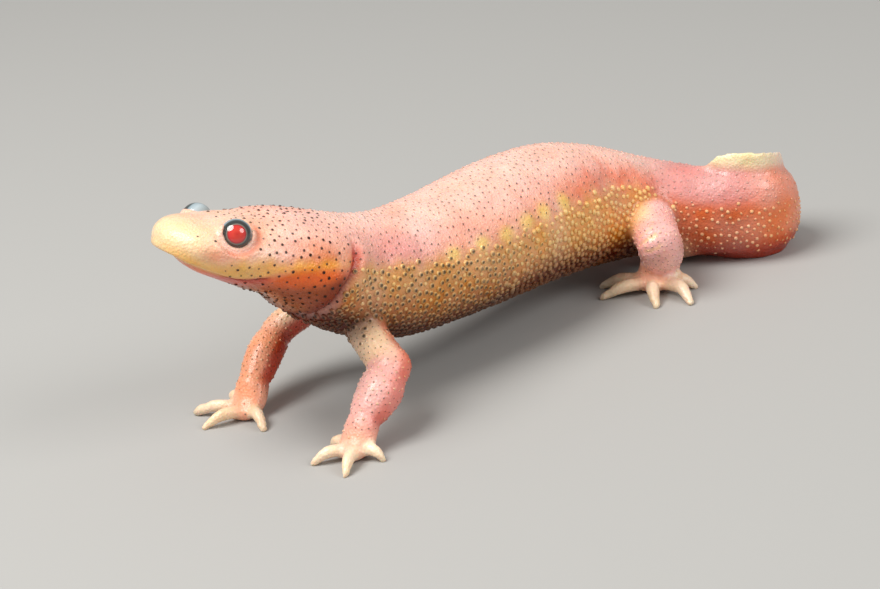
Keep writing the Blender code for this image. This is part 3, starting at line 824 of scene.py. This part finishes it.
distance, across, height, depth = bodyPlace(points)
tint = limbTint(foldTint(headTint(tailTint(trunkTint()))))
setAttribute(skinMesh, "tint", tint, "FLOAT_COLOR")
setAttribute(skinMesh, "place", np.stack([distance, height, across], 1), "FLOAT_VECTOR")
setAttribute(skinMesh, "limbPlace", np.stack([inLimb, which + share, around], 1), "FLOAT_VECTOR")
print("skin tinted")

# paints and node trees
def feed(tree, node, fed):   # each input gets a plain value, or the output of another node
    for socket, source in fed.items():
        if isinstance(source, bpy.types.NodeSocket):
            tree.links.new(source, node.inputs[socket])
        else:
            node.inputs[socket].default_value = source


def addNode(tree, kind, fed=None, **settings):
    made = tree.nodes.new(kind)
    for name, value in settings.items():
        setattr(made, name, value)
    feed(tree, made, fed or {})
    return made.outputs


def newPaint(name):
    made = bpy.data.materials.new(name)
    made.use_nodes = True
    return made, made.node_tree, made.node_tree.nodes["Principled BSDF"]


# the moist skin: its tint is mottled, its gloss broken, and a fine grain stands on it
def skinMaterial(name, look):
    made, tree, shader = newPaint(name)
    where = addNode(tree, "ShaderNodeTexCoord")["Object"]
    tint = addNode(tree, "ShaderNodeAttribute", attribute_name="tint")["Color"]

    def noise(scale, detail):
        fed = {"Vector": where, "Scale": scale, "Detail": detail}
        return addNode(tree, "ShaderNodeTexNoise", fed)["Fac"]

    def ranged(value, low, high, start=0.3, end=0.7):
        fed = {"Value": value, "From Min": start, "From Max": end, "To Min": low, "To Max": high}
        return addNode(tree, "ShaderNodeMapRange", fed)["Result"]

    tone = addNode(tree, "ShaderNodeHueSaturation", {
        "Color": tint, "Value": ranged(noise(look["mottle"], 4.0), 0.88, 1.08),
        "Saturation": ranged(noise(look["mottle"] * 0.6, 2.0), 0.90, 1.14)})
    cells = addNode(tree, "ShaderNodeTexVoronoi", {"Vector": where, "Scale": look["grain"]})
    fine = addNode(tree, "ShaderNodeBump", {
        "Distance": look["grainHeight"] * mm, "Strength": 0.5,
        "Height": ranged(cells["Distance"], 0.0, 1.0, 0.0, 0.7)}, invert=True)
    soft = addNode(tree, "ShaderNodeBump", {
        "Distance": look["softHeight"] * mm, "Strength": 0.6,
        "Height": noise(look["softGrain"], 3.0), "Normal": fine["Normal"]})
    bright = addNode(tree, "ShaderNodeRGBToBW", {"Color": tint})["Val"]
    dull, glossy, wet = look["roughness"] - 0.1, look["roughness"] + 0.1, look["wet"]
    feed(tree, shader, {
        "Base Color": tone["Color"], "Normal": soft["Normal"],
        "Roughness": ranged(noise(look["gloss"], 3.0), dull, glossy),
        "Subsurface Weight": look["glow"], "Subsurface Radius": look["glowReach"],
        "Subsurface Scale": 1.0, "Coat Weight": wet, "Coat Roughness": 0.14})
    # the dark tips shine less
    feed(tree, shader, {"Coat Weight": ranged(bright, 0.05, wet, 0.0, 0.15),
                        "Specular IOR Level": ranged(bright, 0.15, 0.5, 0.0, 0.15)})
    return made


skinLook = {"mottle": 260.0, "gloss": 900.0, "roughness": 0.42, "grain": 2300.0, "grainHeight": 0.16,
            "softGrain": 500.0, "softHeight": 0.35, "wet": 0.35,
            "glow": 0.2, "glowReach": (0.0016, 0.0006, 0.0003)}
skinPaint = skinMaterial("moist_skin", skinLook)
skinMesh.materials.clear()
skinMesh.materials.append(skinPaint)
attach(skin, "root")
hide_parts(*[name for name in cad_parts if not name.startswith("eye_")])

# warts and dots, scattered over the skin by geometry nodes
grainTop = [(94.0, 0.66), (104.0, 0.58), (112.0, 0.44), (122.0, 0.36)]
wartShape = {"sides": 7, "rings": [(1.0, -0.2), (0.76, 0.3), (0.34, 0.54)], "peak": 0.58}
wartKinds = {
    # spacing and radius in millimetres, how far sizes vary, and the seed
    "flank_warts": {"spacing": 0.92, "radius": 0.53, "spread": 0.22, "seed": 3, "slot": "flank_skin"},
    "back_warts": {"spacing": 1.08, "radius": 0.23, "spread": 0.28, "seed": 5, "slot": "back_skin"},
    "head_dots": {"spacing": 1.15, "radius": 0.24, "spread": 0.35, "seed": 8, "slot": "back_skin"},
    "tail_grains": {"spacing": 1.0, "radius": 0.31, "spread": 0.3, "seed": 11, "slot": "back_skin"},
    "limb_dots": {"spacing": 0.8, "radius": 0.21, "spread": 0.3, "seed": 13, "slot": "limb_skin"},
}


def wartAmounts():   # how thickly each kind stands at each vertex
    a, above = headFrame(points)[0], aboveMouth(points)
    free = np.where(which < 2, ease(share, 0.18, 0.34), 1.0)
    bodyOnly = (1 - ease(inLimb, 0.1, 0.6) * free) * fade(inDigit, 0, 0.2)
    under = readTable(goldTop, distance) - height
    flank = ease(under, -0.04, 0.08) * ease(pastFold(), 0.5, 1.2) * fade(distance, 100, 106)
    onFin = ease(height, 1, 1.05) * ease(distance, 106, 108)
    back = ease(-under, -0.08, 0.06) * ease(distance, 25, 28)
    back = back * fade(distance, 120, 130) * (1 - onFin)
    onChin = ease(-above, -0.3, 0.3) * fade(a, 10, 15)
    dots = fade(distance, 25, 27) * ease(a - 0.9 * np.maximum(above - 3.5, 0.0), 2, 7)
    dots = dots * (0.4 + 0.6 * ease(a, 6, 12)) * (1 - 0.9 * onChin)
    for centre in eyeCentres:
        dots = dots * ease(np.linalg.norm(points - centre, axis=1), 3.3, 4.3)
    overTop = height - readTable(grainTop, distance)
    grains = ease(distance, 92, 99) * fade(overTop, -0.12, 0.1) * ease(height, -0.95, -0.6)
    grains = grains * fade(distance, 150, 190)
    dotted = ease(inLimb, 0.6, 1) * (1 - inDigit) * (1 - 0.7 * ease(share, 0.7, 0.95))
    return {"flank_warts": flank * bodyOnly, "back_warts": back * bodyOnly, "head_dots": dots * bodyOnly,
            "tail_grains": grains * bodyOnly, "limb_dots": dotted}


def wartDome():
    c, s = ring(wartShape["sides"])
    points, faces = loft([np.stack([c * reach, s * reach, np.full(len(c), lift)], 1)
                          for reach, lift in wartShape["rings"]])
    last = faces.pop()   # the flat lid makes way for a peak
    faces += [(last[k - 1], last[k], len(points)) for k in range(len(last))]
    points = np.vstack([points, (0.0, 0.0, wartShape["peak"])])
    mesh = meshFrom("wart", points, faces)
    setAttribute(mesh, "spot", points, "FLOAT_VECTOR")
    return newObject("wart", mesh)


def scatterTree():
    tree = bpy.data.node_groups.new("scatter_warts", "GeometryNodeTree")
    face = tree.interface
    face.new_socket("Skin", in_out="INPUT", socket_type="NodeSocketGeometry")
    for label, kind in (("Wart", "Object"), ("Amount", "String"), ("Spacing", "Float"), ("Radius", "Float"),
                        ("Spread", "Float"), ("Seed", "Int"), ("Paint", "Material")):
        face.new_socket(label, in_out="INPUT", socket_type="NodeSocket" + kind)
    face.new_socket("Warts", in_out="OUTPUT", socket_type="NodeSocketGeometry")
    given = addNode(tree, "NodeGroupInput")

    def random(low, high):
        fed = {2: low, 3: high, "Seed": given["Seed"]}
        return addNode(tree, "FunctionNodeRandomValue", fed, data_type="FLOAT")[1]

    def mathNode(operation, first, second):
        return addNode(tree, "ShaderNodeMath", {0: first, 1: second}, operation=operation)[0]

    amount = addNode(tree, "GeometryNodeInputNamedAttribute", {"Name": given["Amount"]}, data_type="FLOAT")
    spots = addNode(tree, "GeometryNodeDistributePointsOnFaces", {
        "Mesh": given["Skin"], "Distance Min": given["Spacing"], "Density Max": 6.0e6,
        "Density Factor": amount["Attribute"], "Seed": given["Seed"]}, distribute_method="POISSON")
    tone = {"Geometry": spots["Points"], "Name": "tone", "Value": random(0.0, 1.0)}
    toned = addNode(tree, "GeometryNodeStoreNamedAttribute", tone, data_type="FLOAT", domain="POINT")
    shape = addNode(tree, "GeometryNodeObjectInfo", {"Object": given["Wart"]})
    least = mathNode("SUBTRACT", 1.0, given["Spread"])
    most = mathNode("ADD", 1.0, given["Spread"])
    placed = addNode(tree, "GeometryNodeInstanceOnPoints", {
        "Points": toned["Geometry"], "Instance": shape["Geometry"], "Rotation": spots["Rotation"],
        "Scale": mathNode("MULTIPLY", random(least, most), given["Radius"])})
    real = addNode(tree, "GeometryNodeRealizeInstances", {"Geometry": placed["Instances"]})
    painted = addNode(tree, "GeometryNodeSetMaterial", {
        "Geometry": real["Geometry"], "Material": given["Paint"]})
    addNode(tree, "NodeGroupOutput", {"Warts": painted["Geometry"]})
    return tree


tipInks = {"dark": pigment(30, 16, 12), "gold": pigment(250, 206, 140), "paleGold": pigment(252, 214, 160),
           "grain": pigment(248, 196, 150), "bare": pigment(255, 214, 196)}


def wartTint(kind, mesh):
    base = readAttribute(mesh, "tint")[:, :3]
    distance, height = readAttribute(mesh, "place").T[:2]
    tone = readAttribute(mesh, "tone")[:, 0]
    radial = np.hypot(*readAttribute(mesh, "spot").T[:2])
    raised = fade(radial, 0.6, 1.1)
    tip = fade(radial, 0.3, 0.6)
    if kind == "flank_warts":
        # lower down the flank the warts get less gold: painted shade toward the belly
        low = ease(-height - 0.2 * (distance < 60), 0, 0.65)
        shade = mixed(base, tipInks["gold"], raised * (0.8 - 0.68 * low))
        dark = tip * fade(distance + tone * 14, 60, 78) * (tone > 0.12)
        return mixed(shade, tipInks["dark"], dark * 0.9)
    if kind == "back_warts":
        shade = mixed(base, tipInks["bare"], raised * 0.2)
        faded = 1 - 0.8 * ease(distance + tone * 25, 95, 125)
        dark = fade(radial, 0.45, 0.9) * faded * (tone > 0.12)
        return mixed(shade, tipInks["dark"], dark * (0.6 + 0.35 * tone))
    if kind == "head_dots":
        shade = mixed(base, tipInks["bare"], raised * 0.2)
        return mixed(shade, tipInks["dark"], fade(radial, 0.72, 1) * (0.75 + 0.25 * tone))
    if kind == "tail_grains":
        return mixed(base, tipInks["grain"], raised * (0.4 + 0.4 * tone))
    shade = mixed(base, tipInks["paleGold"], raised * 0.35 * (tone > 0.55))
    return mixed(shade, tipInks["dark"], tip * (tone < 0.6) * 0.8)


# the unwrap: the body lies along its foot, the four limbs side by side above it
unwrap = {"body": (0.01, 0.98), "limb": (0.02, 0.24), "bodyTurn": (0.01, 0.76), "limbTurn": (0.80, 0.18),
          "patch": 0.003}


def bakePatches(mesh):   # each wart is a small patch at its root's place on the unwrap
    distance, height, across = readAttribute(mesh, "place").T
    inLimb, limbShare, around = readAttribute(mesh, "limbPlace").T
    at = {"body": np.clip(distance / bodyLength, 0, 1), "limb": np.clip(limbShare, 0, 4),
          "bodyTurn": np.arctan2(across, height) / (2 * math.pi) + 0.5,
          "limbTurn": around / (2 * math.pi) + 0.5}
    laid = {key: unwrap[key][0] + unwrap[key][1] * along for key, along in at.items()}
    u = np.where(inLimb > 0.5, laid["limb"], laid["body"])
    v = np.where(inLimb > 0.5, laid["limbTurn"], laid["bodyTurn"])
    uv = np.stack([u, v], 1) + readAttribute(mesh, "spot")[:, :2] * unwrap["patch"] / 2
    loops = readRows(mesh.loops, "vertex_index", 1, int)[:, 0]
    mesh.uv_layers.new(name="OFBake").data.foreach_set("uv", uv[loops].ravel())


wart, tree = wartDome(), scatterTree()
sockets = {item.name: item.identifier for item in tree.interface.items_tree if item.in_out == "INPUT"}
for kind, amount in wartAmounts().items():
    setAttribute(skinMesh, kind, amount)
for kind, make in wartKinds.items():
    carrier = newObject(kind + "_carrier", skinMesh)
    step = carrier.modifiers.new("scatter", "NODES")
    step.node_group = tree
    settings = {"Wart": wart, "Amount": kind, "Spacing": make["spacing"] * mm, "Radius": make["radius"],
                "Spread": make["spread"], "Seed": make["seed"], "Paint": skinPaint}
    for label, value in settings.items():
        step[sockets[label]] = value
    evaluated = carrier.evaluated_get(bpy.context.evaluated_depsgraph_get())
    mesh = bpy.data.meshes.new_from_object(evaluated)
    bpy.data.objects.remove(carrier)
    mesh.name = kind
    setAttribute(mesh, "tint", wartTint(kind, mesh), "FLOAT_COLOR")
    bakePatches(mesh)
    wartPoints = readPoints(mesh)
    wartPoints[:, 2] = np.maximum(wartPoints[:, 2], 0.0)
    writePoints(mesh, np.clip(wartPoints, low, high))
    mesh.shade_smooth()
    piece = newObject(kind, mesh)
    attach(piece, "root")
    print(kind + ":", triangleCount(mesh), "triangles")
bpy.data.objects.remove(wart)

# eyes: one wet ball each, ringed round its gaze
eyeMake = {"segments": 72, "rings": 56, "shrink": 0.02, "roughness": 0.1,
           # degrees from the gaze, and colours
           "bands": [(0.0, (196, 40, 30)), (14.0, (214, 60, 44)), (29.0, (206, 46, 44)),
                     (34.0, (150, 30, 34)), (36.0, (132, 112, 100)), (39.0, (104, 104, 98)),
                     (42.0, (48, 52, 50)), (52.0, (34, 42, 44)), (60.0, (50, 66, 70)),
                     (68.0, (146, 164, 172)), (90.0, (176, 190, 196)), (120.0, (150, 160, 160))]}


def eyeMaterial():
    made, tree, shader = newPaint("wet_eye")
    angle = addNode(tree, "ShaderNodeAttribute", attribute_name="gazeAngle")
    ramp = tree.nodes.new("ShaderNodeValToRGB")
    stops = eyeMake["bands"]
    while len(ramp.color_ramp.elements) < len(stops):
        ramp.color_ramp.elements.new(0.5)
    for element, (degrees, ink) in zip(ramp.color_ramp.elements, stops):
        element.position = degrees / 180.0
        element.color = (*pigment(*ink), 1)
    feed(tree, ramp, {"Fac": angle["Fac"]})
    feed(tree, shader, {"Base Color": ramp.outputs["Color"], "Roughness": eyeMake["roughness"],
                        "Coat Weight": 1.0, "Coat Roughness": 0.02})
    return made


def buildEye(name, paint):
    centre, radius = eyes[name]
    gaze = Vector(facing(centre, head["gaze"]))
    ball = bmesh.new()
    bmesh.ops.create_uvsphere(ball, u_segments=eyeMake["segments"], v_segments=eyeMake["rings"],
                              radius=(radius - eyeMake["shrink"]) * mm)
    turn = Vector((0, 0, 1)).rotation_difference(gaze).to_matrix()
    for vert in ball.verts:
        vert.co = turn @ vert.co + Vector(centre) * mm
    mesh = bpy.data.meshes.new(name + "_ball")
    ball.to_mesh(mesh)
    ball.free()
    offset = readPoints(mesh) - centre
    facingOut = offset @ np.array(gaze) / np.linalg.norm(offset, axis=1)
    setAttribute(mesh, "gazeAngle", np.degrees(np.arccos(np.clip(facingOut, -1, 1))) / 180.0)
    mesh.shade_smooth()
    mesh.materials.append(paint)
    piece = newObject(name + "_ball", mesh)
    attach(piece, "root")
    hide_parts(name)


eyePaint = eyeMaterial()
for name in eyes:
    buildEye(name, eyePaint)
print("eyes set")

# floor, light and camera
studio = {"floorSize": 4.0, "floorTone": (0.40, 0.40, 0.39), "floorRoughness": 0.7,
          "world": 0.38, "worldTint": (1.0, 0.98, 0.95),
          # metres right of the target, back and up; size, power and tint
          "lights": {"key": ((-0.30, 0.12, 0.5), 0.45, 4.7, (1.0, 0.98, 0.95)),
                     "fill": ((0.45, 0.3, 0.3), 0.35, 1.7, (1.0, 0.98, 0.96))},
          "target": (10.31, -6.41, 8.0), "azimuth": 49.53, "elevation": 22.13, "roll": -6.96,
          "away": 430.0, "lens": 110.8}
floorMesh = bpy.data.meshes.new("floor")
half = studio["floorSize"] / 2
corners = [(-half, -half, 0), (half, -half, 0), (half, half, 0), (-half, half, 0)]
floorMesh.from_pydata(corners, [], [(0, 1, 2, 3)])
floorObject = newObject("floor", floorMesh)
floorPaint, paintTree, shader = newPaint("floor")
feed(paintTree, shader, {"Base Color": (*studio["floorTone"], 1), "Roughness": studio["floorRoughness"]})
floorMesh.materials.append(floorPaint)

world = bpy.data.worlds.new("studio")
world.use_nodes = True
feed(world.node_tree, world.node_tree.nodes["Background"], {
    "Color": (*studio["worldTint"], 1), "Strength": studio["world"]})
bpy.context.scene.world = world
bpy.context.scene.view_settings.view_transform = "Standard"


def softLight(name, place, size, power, color):
    data = bpy.data.lights.new(name, "AREA")
    data.shape = "DISK"
    data.size = size
    data.energy = power
    data.color = color
    lamp = bpy.data.objects.new(name, data)
    bpy.context.scene.collection.objects.link(lamp)
    lamp.location = place
    aim = Vector(studio["target"]) * mm - Vector(place)
    lamp.rotation_euler = aim.to_track_quat("-Z", "Y").to_euler()


azimuth, elevation, roll = (math.radians(studio[key]) for key in ("azimuth", "elevation", "roll"))
level = math.cos(elevation)
back = Vector((math.sin(azimuth) * level, -math.cos(azimuth) * level, math.sin(elevation)))
right = Vector((math.cos(azimuth), math.sin(azimuth), 0.0))
upward = back.cross(right)
turnedRight = right * math.cos(roll) + upward * math.sin(roll)
turnedUp = -right * math.sin(roll) + upward * math.cos(roll)
camera = bpy.data.objects.new("camera", bpy.data.cameras.new("camera"))
bpy.context.scene.collection.objects.link(camera)
target = Vector(studio["target"]) * mm
place = target + back * studio["away"] * mm
camera.matrix_world = Matrix.Translation(place) @ Matrix((turnedRight, turnedUp, back)).transposed().to_4x4()
camera.data.lens = studio["lens"]
camera.data.sensor_width = 36.0
camera.data.clip_start = 0.01
bpy.context.scene.camera = camera
for name, (offset, *settings) in studio["lights"].items():
    softLight(name, target + right * offset[0] + back * offset[1] + Vector((0, 0, offset[2])), *settings)
print("studio set")
